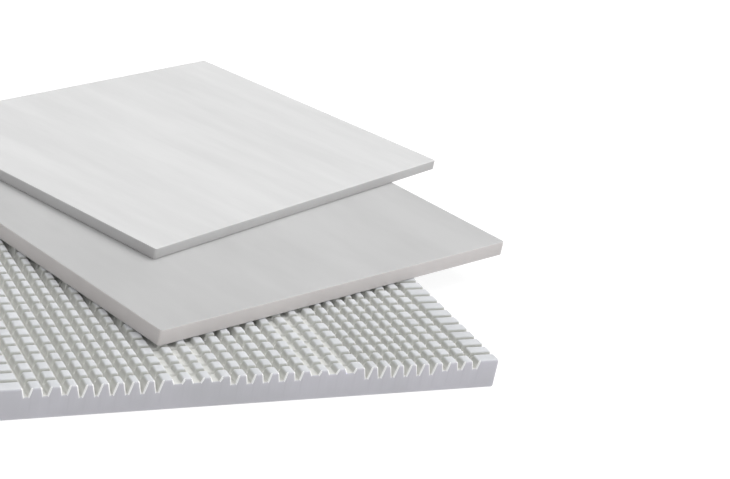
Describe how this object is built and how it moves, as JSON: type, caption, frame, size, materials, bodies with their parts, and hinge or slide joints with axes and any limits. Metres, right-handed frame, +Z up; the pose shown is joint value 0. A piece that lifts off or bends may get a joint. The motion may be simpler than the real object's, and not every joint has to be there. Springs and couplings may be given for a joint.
{
  "type": "mattress",
  "caption": "Foam mattress shown as its three foam layers fanned out on each other: two plain sheets over a thick base with a block-cut top.",
  "frame": {"origin": "centre of the base layer's flat underside, on the surface it rests on", "axes": "+Z up through the layers, +X along the base layer's length, +Y across its width towards the side where the upper layers overhang"},
  "size_m": [2.6284, 3.0567, 0.2336],
  "materials": {
    "base_foam": "matte",
    "middle_foam": "matte",
    "top_foam": "matte"
  },
  "bodies": {
    "root": {"base_layer": "base_foam", "middle_layer": "middle_foam", "top_layer": "top_foam"}
  },
  "joints": []
}
